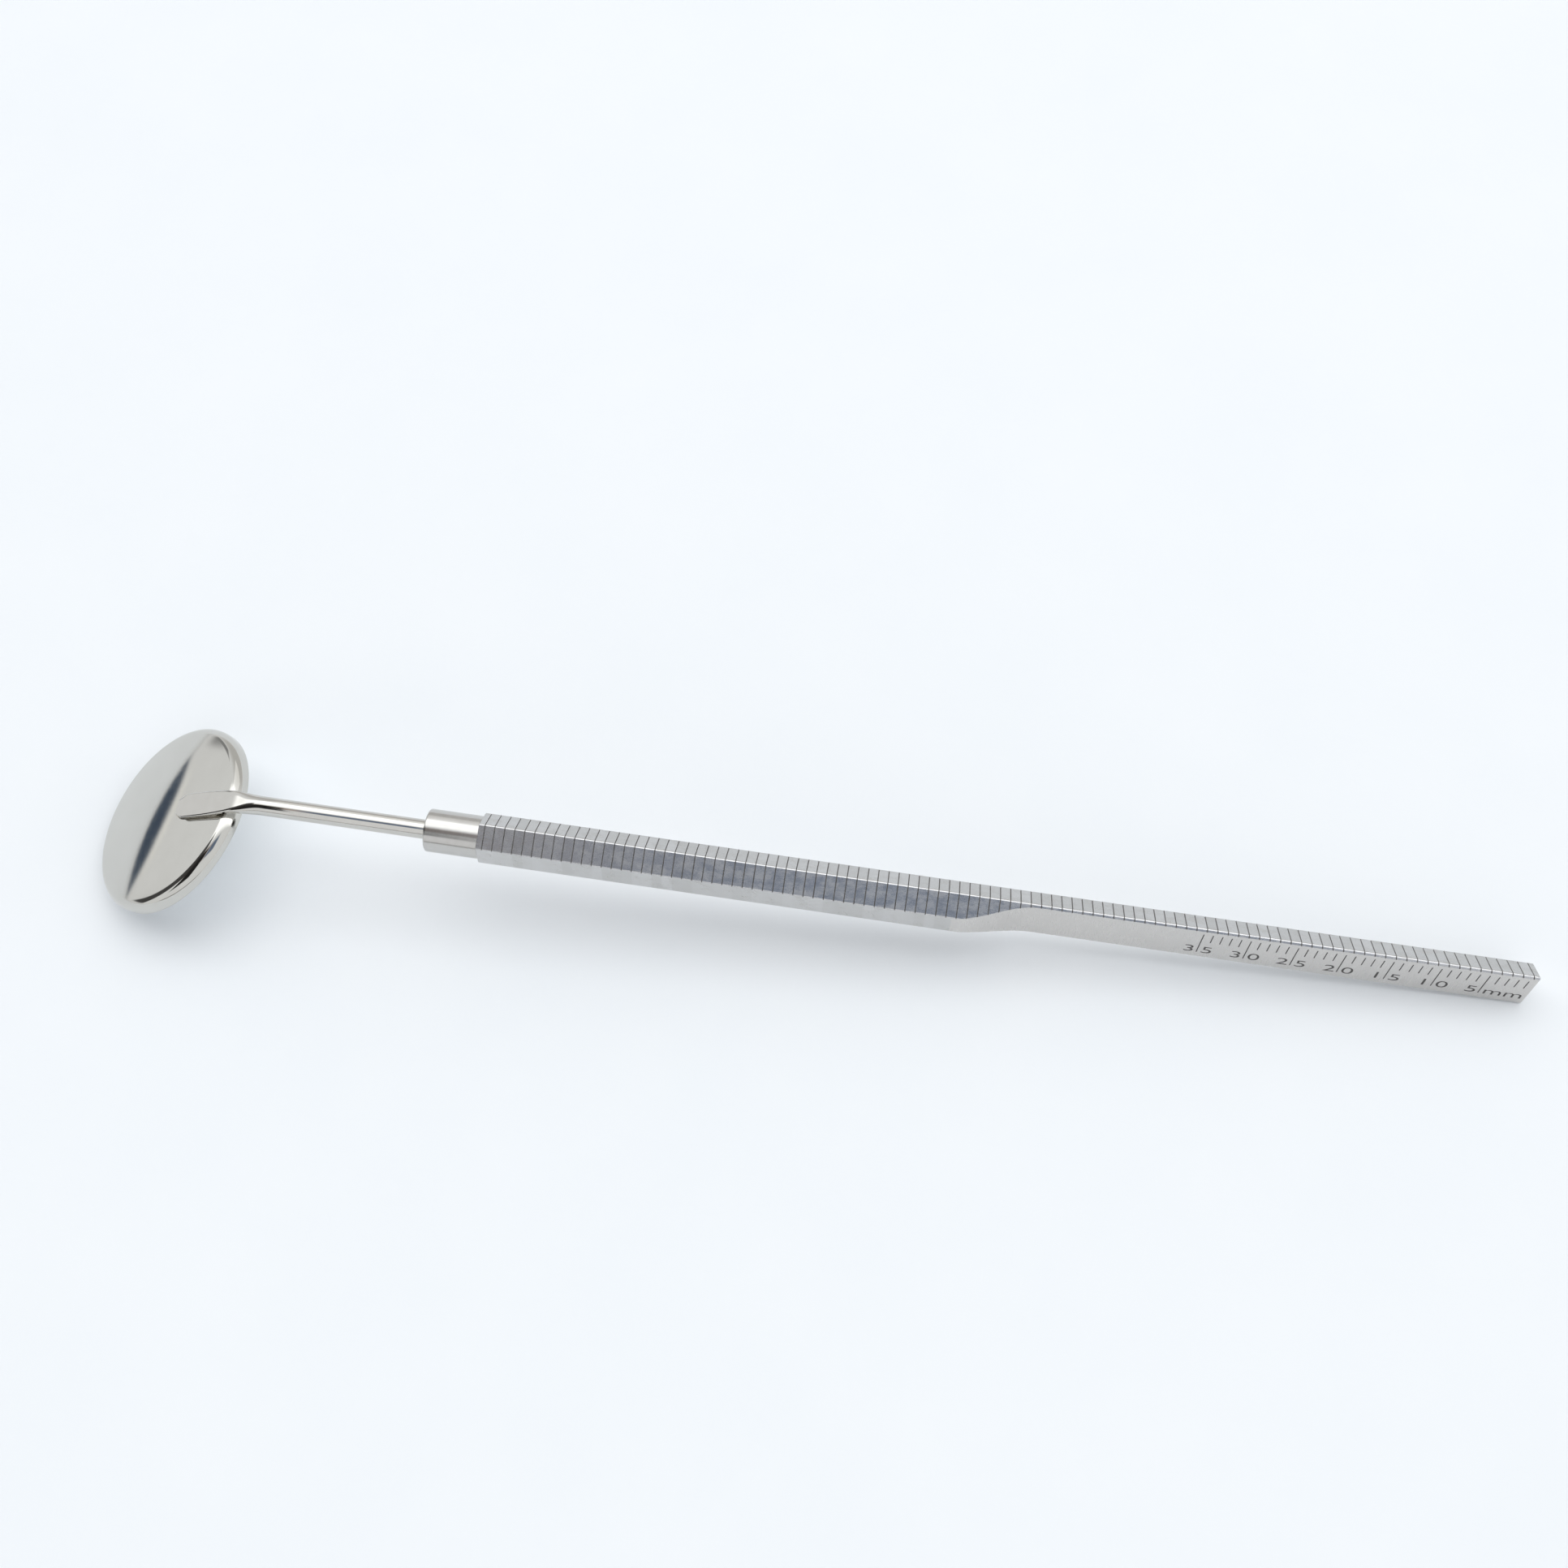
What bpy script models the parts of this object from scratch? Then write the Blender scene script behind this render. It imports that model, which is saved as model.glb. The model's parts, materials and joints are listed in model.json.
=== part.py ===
"""Dental mouth mirror: hexagonal handle with a milled ruler flat, and a screw-in mirror head.

Units are metres, +Z up.  The instrument lies on a table: the mirror's rim and one corner of the
handle's tail touch z = 0.  The handle runs along +X towards the tail, and the head is at -X.

Everything is drawn in the handle's own frame, which the empty "lie" pitches into place:
x runs along the handle from the shoulder of the hexagon to the tail, y is to the left of it,
and z is up, in the plane that holds the bent stem.
"""
import math

import bmesh
import bpy
from mathutils import Matrix

MM = 0.001

# ---- driving dimensions -----------------------------------------------------------------------
# Handle: a regular hexagonal bar with a turned nose.
FLATS = 4.8 * MM              # across the flats
HEX_LEN = 113.6 * MM          # shoulder to tail
ROLL = math.radians(20.5)     # how far the top flat leans towards the front
NOSE_R = 2.38 * MM            # turned nose, just inside the flats
NOSE_LEN = 6.0 * MM
NOSE_CHAMFER = 0.25 * MM
TAIL_CHAMFER = 0.15 * MM

# Grip grooves, cut round five of the six faces.
GROOVES = 103
GROOVE_PITCH = 1.1 * MM
GROOVE_FIRST = 0.7 * MM       # from the shoulder
GROOVE_W = 0.18 * MM
GROOVE_DEPTH = 0.08 * MM

# Ruler flat, milled parallel to the smooth face down to just above the bar's axis.
FLAT_OFFSET = 0.30 * MM       # from the axis to the milled flat
RAMP_START = 51.8 * MM
RAMP_END = 61.0 * MM

# Socket for the stem.
SOCKET_R = 1.30 * MM
SOCKET_DEPTH = 8.2 * MM       # from the nose's front
SOCKET_MOUTH_R = 1.42 * MM

# Stem: a bent rod with a threaded tail and a flattened foot.
ROD_R = 1.07 * MM
THREAD_R = 1.25 * MM          # M2.5 x 0.45
THREAD_ROOT_R = 1.00 * MM
THREAD_PITCH = 0.45 * MM
THREAD_TURNS = 12
THREAD_START = -4.2 * MM
BEND_AT = 28.4 * MM           # from the shoulder to where the bend's tangents cross
BEND_R = 4.0 * MM
FOOT_ANGLE = math.radians(27.5)
FOOT_LEN = 8.3 * MM           # from the bend's crossing point to the tip
FOOT_W = 3.0 * MM
FOOT_T = 0.62 * MM
FOOT_TIP_T = 0.34 * MM
FLATTEN_LEAD = 1.0 * MM        # the rod starts to flatten this far before its bend
FLATTEN_TAIL = 0.9 * MM       # and is flat this far past it

# Head: a pressed cup that holds the glass.
PLANE_ANGLE = math.radians(34.0)   # between the glass and the handle's axis
CUP_R = 11.5 * MM
CUP_X = 37.18 * MM            # centre of the rim, ahead of the shoulder
CUP_DROP = 8.89 * MM          # centre of the rim, below the handle's axis
CUP_DEPTH = 1.9 * MM          # rim to the edge of the dome
CUP_DOME = 1.0 * MM           # rise of the dome
CUP_ROUND = 0.6 * MM
SHEET = 0.42 * MM
GLASS_R = 10.88 * MM
GLASS_RECESS = 0.45 * MM
GLASS_T = 0.90 * MM
PAD_R = 9.8 * MM
SEAL_R = 10.45 * MM           # inner radius of the bead round the glass
SEAL_T = 0.28 * MM
BRAZE_T = 0.16 * MM
GAP = 0.05 * MM               # between pieces that touch

ROUND_SIDES = 48
ROD_SIDES = 20

SIDE = FLATS / math.sqrt(3)
FACE_ANGLES = [math.radians(a) for a in (90, 30, -30, -90, -150, 150)]
SMOOTH_FACE = 5               # the face that carries no grooves and the ruler flat

# The handle's lowest corner at the tail, below its axis.
CORNER_DROP = SIDE * math.cos(math.radians(30) - ROLL)


def rest_pitch():
    """The pitch at which the cup's rounded lip and the tail's corner both touch the table."""
    lip = SHEET / 2
    pitch = 0.0
    for _ in range(6):
        tilt = PLANE_ANGLE - pitch
        lip_rise = lip * (math.sin(tilt) + math.cos(tilt) - 1)
        drop = CUP_DROP + CUP_R * math.sin(PLANE_ANGLE) - lip_rise - CORNER_DROP
        pitch = math.atan2(drop, CUP_X + HEX_LEN + CUP_R * math.cos(PLANE_ANGLE))
    return pitch


PITCH = rest_pitch()


# ---- helpers ----------------------------------------------------------------------------------
def clear_scene():
    for old in list(bpy.data.objects):
        bpy.data.objects.remove(old, do_unlink=True)


def material(name, colour, roughness, metallic):
    mat = bpy.data.materials.new(name)
    mat.use_nodes = True
    shader = mat.node_tree.nodes["Principled BSDF"]
    shader.inputs["Base Color"].default_value = (*colour, 1.0)
    shader.inputs["Roughness"].default_value = roughness
    shader.inputs["Metallic"].default_value = metallic
    mat.diffuse_color = (*colour, 1.0)
    return mat


def solid(name, bm, mat=None, parent=None, place=None, smooth_angle=35.0):
    """Turn a bmesh into a named object with outward faces."""
    bmesh.ops.recalc_face_normals(bm, faces=bm.faces)
    mesh = bpy.data.meshes.new(name)
    bm.to_mesh(mesh)
    bm.free()
    mesh.shade_smooth()
    mesh.set_sharp_from_angle(angle=math.radians(smooth_angle))
    obj = bpy.data.objects.new(name, mesh)
    bpy.context.scene.collection.objects.link(obj)
    if mat:
        mesh.materials.append(mat)
    obj.parent = parent
    if place:
        obj.matrix_local = place
    return obj


def bridge(bm, ring_a, ring_b):
    n = len(ring_a)
    for i in range(n):
        bm.faces.new((ring_a[i], ring_a[(i + 1) % n], ring_b[(i + 1) % n], ring_b[i]))


def loft(rings):
    """A closed solid through a list of rings of points, with flat ends."""
    bm = bmesh.new()
    rows = [[bm.verts.new(p) for p in ring] for ring in rings]
    for row_a, row_b in zip(rows, rows[1:]):
        bridge(bm, row_a, row_b)
    bm.faces.new(rows[0])
    bm.faces.new(list(reversed(rows[-1])))
    return bm


def turned(profile, sides=ROUND_SIDES):
    """A solid of revolution about Z.  The (radius, z) profile is closed by its first point."""
    bm = bmesh.new()
    columns = []
    for k in range(sides):
        a = 2 * math.pi * k / sides
        columns.append([bm.verts.new((r * math.cos(a), r * math.sin(a), z)) if r > 0 else None
                        for r, z in profile])
    centres = {i: bm.verts.new((0, 0, z)) for i, (r, z) in enumerate(profile) if r == 0}
    for k in range(sides):
        here = columns[k]
        there = columns[(k + 1) % sides]
        for i in range(len(profile)):
            j = (i + 1) % len(profile)
            if i in centres and j in centres:
                continue
            corners = [here[i] or centres[i], there[i], there[j] or centres.get(j), here[j]]
            corners = [c for c in corners if c]
            bm.faces.new(list(dict.fromkeys(corners)))
    return bm


def arc(centre, radius, start, end, steps):
    """Points of a profile's arc, angles in degrees."""
    out = []
    for i in range(steps + 1):
        a = math.radians(start + (end - start) * i / steps)
        out.append((centre[0] + radius * math.cos(a), centre[1] + radius * math.sin(a)))
    return out


def cut(target, cutter, operation="DIFFERENCE"):
    cutter.hide_render = True
    cutter.display_type = "WIRE"
    mod = target.modifiers.new(cutter.name, "BOOLEAN")
    mod.operation = operation
    mod.solver = "EXACT"
    mod.object = cutter


# ---- handle -----------------------------------------------------------------------------------
def smooth_step(t):
    t = min(max(t, 0.0), 1.0)
    return t * t * (3 - 2 * t)


def smooth_face_offset(x):
    """Distance from the axis to the smooth face, which the ruler flat lowers."""
    t = smooth_step((x - RAMP_START) / (RAMP_END - RAMP_START))
    return FLATS / 2 + (FLAT_OFFSET - FLATS / 2) * t


def bar_section(x, groove=0.0, shrink=0.0):
    """The six corners of the bar at x, where neighbouring faces meet."""
    offsets = [FLATS / 2 - groove - shrink] * 6
    offsets[SMOOTH_FACE] = smooth_face_offset(x) - shrink
    ring = []
    for i in range(6):
        j = (i + 1) % 6
        a, b = FACE_ANGLES[i] + ROLL, FACE_ANGLES[j] + ROLL
        det = math.cos(a) * math.sin(b) - math.sin(a) * math.cos(b)
        y = (offsets[i] * math.sin(b) - offsets[j] * math.sin(a)) / det
        z = (offsets[j] * math.cos(a) - offsets[i] * math.cos(b)) / det
        ring.append((x, y, z))
    return ring


def bar():
    rings = [bar_section(0.0)]
    for i in range(GROOVES):
        x = GROOVE_FIRST + i * GROOVE_PITCH
        rings.append(bar_section(x - GROOVE_W / 2))
        rings.append(bar_section(x, GROOVE_DEPTH))
        rings.append(bar_section(x + GROOVE_W / 2))
        if RAMP_START < x < RAMP_END:
            rings.append(bar_section(x + GROOVE_PITCH / 2))
    rings.append(bar_section(HEX_LEN - TAIL_CHAMFER))
    rings.append(bar_section(HEX_LEN, shrink=TAIL_CHAMFER))
    return loft(rings)


def nose():
    """The turned nose, which runs a little way into the bar."""
    back = 0.4 * MM
    c = NOSE_CHAMFER
    profile = [(0, -back), (NOSE_R, -back), (NOSE_R, NOSE_LEN - c), (NOSE_R - c, NOSE_LEN), (0, NOSE_LEN)]
    return turned(profile)


def socket():
    """The blind hole for the stem, with a countersunk mouth and a drilled end."""
    mouth = SOCKET_MOUTH_R - SOCKET_R
    top = NOSE_LEN + MM
    end = NOSE_LEN - SOCKET_DEPTH
    profile = [(0, end - 0.6 * SOCKET_R), (SOCKET_R, end), (SOCKET_R, NOSE_LEN - mouth),
               (SOCKET_MOUTH_R, NOSE_LEN), (SOCKET_MOUTH_R, top), (0, top)]
    return turned(profile)


# ---- stem -------------------------------------------------------------------------------------
def thread_radius(angle, x):
    """Radius of the thread's surface: a V form whose crest climbs one pitch a turn."""
    run = (x - THREAD_START) / THREAD_PITCH
    wave = abs(((run - angle / (2 * math.pi)) % 1.0) * 2 - 1)
    ends = min(1.0, max(0.0, min(run, THREAD_TURNS - run)))
    crest = THREAD_ROOT_R + (THREAD_R - THREAD_ROOT_R) * ends
    return THREAD_ROOT_R + (crest - THREAD_ROOT_R) * wave


def thread_rings():
    """Rings from the stem's tail forwards to the start of the plain rod."""
    rings = []
    steps = 6 * THREAD_TURNS
    tail = THREAD_START + THREAD_TURNS * THREAD_PITCH
    rings.append(circle(tail + 0.35 * MM, THREAD_ROOT_R - 0.3 * MM))
    rings.append(circle(tail + 0.05 * MM, THREAD_ROOT_R))
    for k in range(steps, -1, -1):
        x = THREAD_START + THREAD_PITCH * k / 6
        ring = []
        for i in range(ROD_SIDES):
            a = 2 * math.pi * i / ROD_SIDES
            r = thread_radius(a, x)
            ring.append((x, r * math.cos(a), r * math.sin(a)))
        rings.append(ring)
    return rings


def circle(x, r):
    return [(x, r * math.cos(2 * math.pi * i / ROD_SIDES), r * math.sin(2 * math.pi * i / ROD_SIDES))
            for i in range(ROD_SIDES)]


def stem_section(distance, width, height, up=0.0, squareness=2.0):
    """A ring round the bent axis, distance along it from the bend's start, raised by up.

    A squareness of 2 gives an ellipse, and a larger one a flat bar with rounded edges.
    """
    arc_len = BEND_R * FOOT_ANGLE
    turn = min(max(distance, 0.0), arc_len) / BEND_R
    start = BEND_AT - BEND_R * math.tan(FOOT_ANGLE / 2)
    along = start + BEND_R * math.sin(turn)
    down = BEND_R * (1 - math.cos(turn))
    straight = distance if distance < 0 else max(0.0, distance - arc_len)
    along += straight * math.cos(turn)
    down += straight * math.sin(turn)
    ring = []
    for i in range(ROD_SIDES):
        a = 2 * math.pi * i / ROD_SIDES
        y = width / 2 * rounded(math.cos(a), squareness)
        w = height / 2 * rounded(math.sin(a), squareness) + up
        ring.append((-along + w * -math.sin(turn), y, -down + w * math.cos(turn)))
    return ring


def rounded(value, squareness):
    return math.copysign(abs(value) ** (2 / squareness), value)


def stem():
    rings = thread_rings()
    rings.append(circle(THREAD_START - 0.25 * MM, ROD_R))
    foot_start = BEND_R * FOOT_ANGLE
    foot = FOOT_LEN - BEND_R * math.tan(FOOT_ANGLE / 2)
    rod = 2 * ROD_R
    rings.append(stem_section(-FLATTEN_LEAD, rod, rod))
    flatten = FLATTEN_LEAD + foot_start + FLATTEN_TAIL
    for k in range(1, 11):
        t = k / 10
        height = rod + (FOOT_T - rod) * smooth_step(t)
        width = rod + (FOOT_W - rod) * t
        rings.append(stem_section(t * flatten - FLATTEN_LEAD, width, height, 0.0, 2 + 3 * t))
    for k in range(1, 9):
        t = k / 8
        height = FOOT_T + (FOOT_TIP_T - FOOT_T) * t
        width = FOOT_W - 1.2 * MM * max(0.0, t - 0.86) / 0.14
        along = foot_start + FLATTEN_TAIL + t * (foot - FLATTEN_TAIL)
        rings.append(stem_section(along, width, height, (height - FOOT_T) / 2, 5.0))
    return loft(rings)


# ---- head -------------------------------------------------------------------------------------
def dome_height(radius):
    """Height of the cup's outer back above the rim plane."""
    return CUP_DEPTH + CUP_DOME * (1 - (radius / (CUP_R - CUP_ROUND)) ** 2)


def dome_profile(drop, outer, steps=7):
    """(radius, height) points down the dome from its edge to the centre."""
    return [(outer * (1 - i / steps), dome_height(outer * (1 - i / steps)) - drop)
            for i in range(steps + 1)]


def cup():
    inner = CUP_R - SHEET
    lip = SHEET / 2
    profile = arc((CUP_R - lip, lip), lip, 180, 360, 4)
    profile += arc((CUP_R - CUP_ROUND, CUP_DEPTH - CUP_ROUND), CUP_ROUND, 0, 75, 4)
    profile += dome_profile(0.0, CUP_R - CUP_ROUND - 0.1 * MM)
    profile += list(reversed(dome_profile(SHEET, inner - 0.35 * MM)))
    profile += [(inner, CUP_DEPTH - CUP_ROUND)]
    return turned(profile)


def glass():
    c = 0.08 * MM
    front, back = GLASS_RECESS, GLASS_RECESS + GLASS_T
    profile = [(0, front), (GLASS_R - c, front), (GLASS_R, front + c), (GLASS_R, back), (0, back)]
    return turned(profile)


def pad():
    base = GLASS_RECESS + GLASS_T + GAP
    profile = [(0, base), (PAD_R, base)] + dome_profile(SHEET + GAP, PAD_R)
    return turned(profile)


def seal():
    low = GLASS_RECESS - GAP - SEAL_T
    high = GLASS_RECESS - GAP
    outer = CUP_R - SHEET - GAP
    profile = [(SEAL_R, high), (SEAL_R + 0.25 * MM, low + 0.08 * MM), (outer - 0.1 * MM, low), (outer, low),
               (outer, high)]
    return turned(profile)


def braze():
    """The brazed pad that bonds the foot to the dome, under the foot and a little wider than it."""
    rows, cols = 10, 8
    near, far = CUP_R - CUP_ROUND - 0.35 * MM, CUP_R - FOOT_LEN + 0.15 * MM
    layers = []
    bm = bmesh.new()
    for level in (GAP, GAP + BRAZE_T):
        grid = []
        for i in range(rows + 1):
            t = i / rows
            half = (FOOT_W / 2 - 0.05 * MM) * math.sqrt(1 - 0.9 * abs(2 * t - 1) ** 6)
            u = near + (far - near) * t
            line = []
            for j in range(cols + 1):
                v = half * (2 * j / cols - 1)
                line.append(bm.verts.new((u, v, dome_height(math.hypot(u, v)) + level)))
            grid.append(line)
        layers.append(grid)
    low, high = layers
    for i in range(rows):
        for j in range(cols):
            bm.faces.new((low[i][j], low[i][j + 1], low[i + 1][j + 1], low[i + 1][j]))
            bm.faces.new((high[i][j], high[i + 1][j], high[i + 1][j + 1], high[i][j + 1]))
    for i in range(rows):
        for j in (0, cols):
            bm.faces.new((low[i][j], low[i + 1][j], high[i + 1][j], high[i][j]))
    for j in range(cols):
        for i in (0, rows):
            bm.faces.new((low[i][j], low[i][j + 1], high[i][j + 1], high[i][j]))
    return bm


# ---- assembly ---------------------------------------------------------------------------------
def set_down(base, pieces):
    """Move the base so that the pieces stand on z = 0, with the origin under their middle."""
    bpy.context.view_layer.update()
    corners = [piece.matrix_world @ v.co for piece in pieces for v in piece.data.vertices]
    base.location.x -= (min(c.x for c in corners) + max(c.x for c in corners)) / 2
    base.location.z -= min(c.z for c in corners)


def main():
    clear_scene()
    steel = material("satin_steel", (0.72, 0.70, 0.67), 0.28, 1.0)
    polished = material("polished_steel", (0.78, 0.77, 0.74), 0.12, 1.0)
    cup_steel = material("cup_steel", (0.76, 0.75, 0.71), 0.10, 1.0)
    silver = material("mirror_glass", (0.85, 0.88, 0.89), 0.03, 1.0)
    pad_grey = material("pad", (0.25, 0.25, 0.26), 0.8, 0.0)
    sealant = material("sealant", (0.62, 0.63, 0.63), 0.45, 0.0)
    filler = material("braze", (0.62, 0.58, 0.50), 0.35, 1.0)

    lie = bpy.data.objects.new("lie", None)
    bpy.context.scene.collection.objects.link(lie)
    lie.rotation_euler = (0, PITCH, 0)

    handle = solid("handle", bar(), steel, lie, smooth_angle=20.0)
    to_nose = Matrix.Rotation(-math.pi / 2, 4, "Y")
    cut(handle, solid("nose_guide", nose(), None, lie, to_nose), "UNION")
    cut(handle, solid("socket_cutter", socket(), None, lie, to_nose))

    turn = bpy.data.objects.new("head_axis", None)
    bpy.context.scene.collection.objects.link(turn)
    turn.parent = lie
    turn.location = (-NOSE_LEN, 0, 0)
    unmove = Matrix.Translation((NOSE_LEN, 0, 0))
    head = [solid("stem", stem(), polished, turn, unmove)]

    rim = Matrix.Translation((-CUP_X, 0, -CUP_DROP)) @ Matrix.Rotation(-PLANE_ANGLE, 4, "Y")
    for name, shape, mat in (("back_cup", cup, cup_steel), ("mirror_glass", glass, silver),
                             ("backing_pad", pad, pad_grey), ("edge_seal", seal, sealant),
                             ("braze", braze, filler)):
        head.append(solid(name, shape(), mat, turn, unmove @ rim))
    set_down(lie, [handle] + head)


main()
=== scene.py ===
import json
import math

import bmesh
import bpy
from mathutils import Matrix, Vector


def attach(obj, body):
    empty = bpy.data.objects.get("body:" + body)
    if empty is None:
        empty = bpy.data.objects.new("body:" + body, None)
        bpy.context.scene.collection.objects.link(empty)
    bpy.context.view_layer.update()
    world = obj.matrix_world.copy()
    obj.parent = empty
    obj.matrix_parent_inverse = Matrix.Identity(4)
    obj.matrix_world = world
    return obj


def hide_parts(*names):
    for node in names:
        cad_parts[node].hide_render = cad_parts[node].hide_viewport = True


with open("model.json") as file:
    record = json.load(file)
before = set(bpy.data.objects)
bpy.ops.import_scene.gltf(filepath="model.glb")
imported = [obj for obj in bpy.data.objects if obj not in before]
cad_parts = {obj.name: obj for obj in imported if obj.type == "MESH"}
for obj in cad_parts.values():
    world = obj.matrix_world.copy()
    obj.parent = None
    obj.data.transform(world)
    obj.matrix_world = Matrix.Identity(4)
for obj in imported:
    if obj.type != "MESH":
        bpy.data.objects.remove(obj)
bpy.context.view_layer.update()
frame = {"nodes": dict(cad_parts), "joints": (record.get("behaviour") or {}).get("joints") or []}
scene = bpy.context.scene

MM = 0.001

# Handle: a hexagonal bar with a turned nose and a milled ruler flat.
FLATS = 4.8 * MM
SIDE = FLATS / math.sqrt(3)
LENGTH = 113.6 * MM
ROLL = math.radians(20.5)
NOSE_R = 2.38 * MM
NOSE_LEN = 6.0 * MM
CORNER_R = 0.24 * MM
GROOVES = 103
PITCH = 1.1 * MM
FIRST_GROOVE = 0.7 * MM
GROOVE_W = 0.125 * MM
GROOVE_DEPTH = 0.075 * MM
FLAT_OFFSET = 0.30 * MM
RAMP_START = 51.8 * MM
RAMP_END = 61.0 * MM
SOCKET_R = 1.30 * MM
SOCKET_DEPTH = 8.2 * MM
SOCKET_MOUTH_R = 1.42 * MM
FLAT_TURN = math.radians(60) + ROLL     # turns +Z to the ruler flat's outward direction

# Stem: a bent rod with a thread behind and a flattened foot in front.
ROD_R = 1.07 * MM
THREAD_R = 1.25 * MM
THREAD_ROOT_R = 1.00 * MM
THREAD_PITCH = 0.45 * MM
THREAD_TURNS = 12
THREAD_START = -4.2 * MM
BEND_AT = 28.4 * MM
BEND_R = 4.0 * MM
FOOT_ANGLE = math.radians(27.5)
FOOT_LEN = 8.3 * MM
FOOT_W = 3.0 * MM
FOOT_T = 0.62 * MM
FOOT_TIP_T = 0.34 * MM
FLATTEN_LEAD = 2.6 * MM                 # flattening starts this far before the bend
FOOT_SPREAD = 0.7                       # of the foot's extra width, reached by the end of the bend
FOOT_CUT = 1.2 * MM                     # taken off the width by the tip's two corners

# Head: a pressed cup with the glass, its seal and the braze under the foot.
PLANE_ANGLE = math.radians(34.0)
CUP_R = 11.5 * MM
CUP_X = 37.18 * MM
CUP_DROP = 8.89 * MM
CUP_DEPTH = 1.9 * MM
CUP_DOME = 1.0 * MM
CUP_ROUND = 0.6 * MM                    # the dome is measured to this far inside the wall
SHOULDER_R = 1.2 * MM
SHOULDER_SWEEP = 80.0                   # degrees
SHEET = 0.42 * MM
GLASS_R = 10.88 * MM
GLASS_RECESS = 0.45 * MM
GLASS_T = 0.90 * MM
SEAL_R = 10.45 * MM
SEAL_T = 0.28 * MM
BRAZE_T = 0.16 * MM
GAP = 0.05 * MM

ROUND_SIDES = 144
ROD_SIDES = 96

# Camera, in metres, with the directions of its right side and of its view.
CAMERA_AT = (0.0238141, -0.0677140, 0.1816690)
CAMERA_RIGHT = (0.98593552, 0.15120421, -0.07119293)
CAMERA_AHEAD = (-0.12852389, 0.41367644, -0.9013065)
LENS = 39.444

# The handle's own frame: x from the hexagon's shoulder to the tail, z up in the bent stem's plane.
turn = frame["joints"][0]
along = Vector(turn["axis"]).normalized()
side = Vector((0, 1, 0))
HANDLE = Matrix((along, side, along.cross(side))).transposed().to_4x4()
HANDLE.translation = Vector(turn["pos_m"]) + along * NOSE_LEN
RIM = HANDLE @ Matrix.Translation((-CUP_X, 0, -CUP_DROP)) @ Matrix.Rotation(-PLANE_ANGLE, 4, "Y")
TURNED = Matrix.Rotation(-math.pi / 2, 4, "Y")      # turned shapes lie along the handle, +Z forwards


# ---- node trees -------------------------------------------------------------------------------
class Wire:
    """One output of a node.  Arithmetic on it adds Math nodes to its tree."""

    def __init__(self, graph, socket):
        self.graph = graph
        self.socket = socket

    def __add__(self, other):
        return self.graph.math("ADD", self, other)

    __radd__ = __add__

    def __sub__(self, other):
        return self.graph.math("SUBTRACT", self, other)

    def __rsub__(self, other):
        return self.graph.math("SUBTRACT", other, self)

    def __mul__(self, other):
        return self.graph.math("MULTIPLY", self, other)

    __rmul__ = __mul__

    def __truediv__(self, other):
        return self.graph.math("DIVIDE", self, other)

    def __mod__(self, other):
        return self.graph.math("FLOORED_MODULO", self, other)

    def __neg__(self):
        return self.graph.math("MULTIPLY", self, -1.0)

    def floor(self):
        return self.graph.math("FLOOR", self)

    def least(self, other):
        return self.graph.math("MINIMUM", self, other)

    def most(self, other):
        return self.graph.math("MAXIMUM", self, other)

    def above(self, other):
        return self.graph.math("GREATER_THAN", self, other)

    def equals(self, other):
        return self.graph.math("COMPARE", self, other, 0.5)

    def rise(self, low, high):
        """0 below low, 1 above high and a smooth step between."""
        return self.graph.add("ShaderNodeMapRange", {"interpolation_type": "SMOOTHSTEP"},
                              {"Value": self, "From Min": low, "From Max": high})

    def band(self, low, high, soft):
        """1 between low and high, falling to 0 over soft on each side."""
        return self.rise(low - soft, low + soft) * (1 - self.rise(high - soft, high + soft))


class Graph:
    """A node tree that is wired in one call a node."""

    def __init__(self, tree):
        self.tree = tree

    def pick(self, sockets, key):
        if isinstance(key, int):
            return sockets[key]
        named = [s for s in sockets if s.identifier == key]
        named += [s for s in sockets if s.name == key and s.enabled]
        return named[0]

    def add(self, kind, settings=None, sockets=None, out=0):
        node = self.tree.nodes.new(kind)
        for key, value in (settings or {}).items():
            setattr(node, key, value)
        for key, value in (sockets or {}).items():
            socket = self.pick(node.inputs, key)
            for item in value if isinstance(value, list) else [value]:
                if isinstance(item, Wire):
                    self.tree.links.new(item.socket, socket)
                else:
                    socket.default_value = item
        return Wire(self, self.pick(node.outputs, out))

    def math(self, operation, *values):
        return self.add("ShaderNodeMath", {"operation": operation}, dict(enumerate(values)))

    def vector(self, x=0.0, y=0.0, z=0.0):
        return self.add("ShaderNodeCombineXYZ", None, {0: x, 1: y, 2: z})

    def parts(self, vector):
        return [self.add("ShaderNodeSeparateXYZ", None, {0: vector}, out=i) for i in range(3)]

    def mix(self, factor, a, b):
        """A colour between a and b."""
        return self.add("ShaderNodeMix", {"data_type": "RGBA"},
                        {"Factor_Float": factor, "A_Color": a, "B_Color": b}, out="Result_Color")


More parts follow.
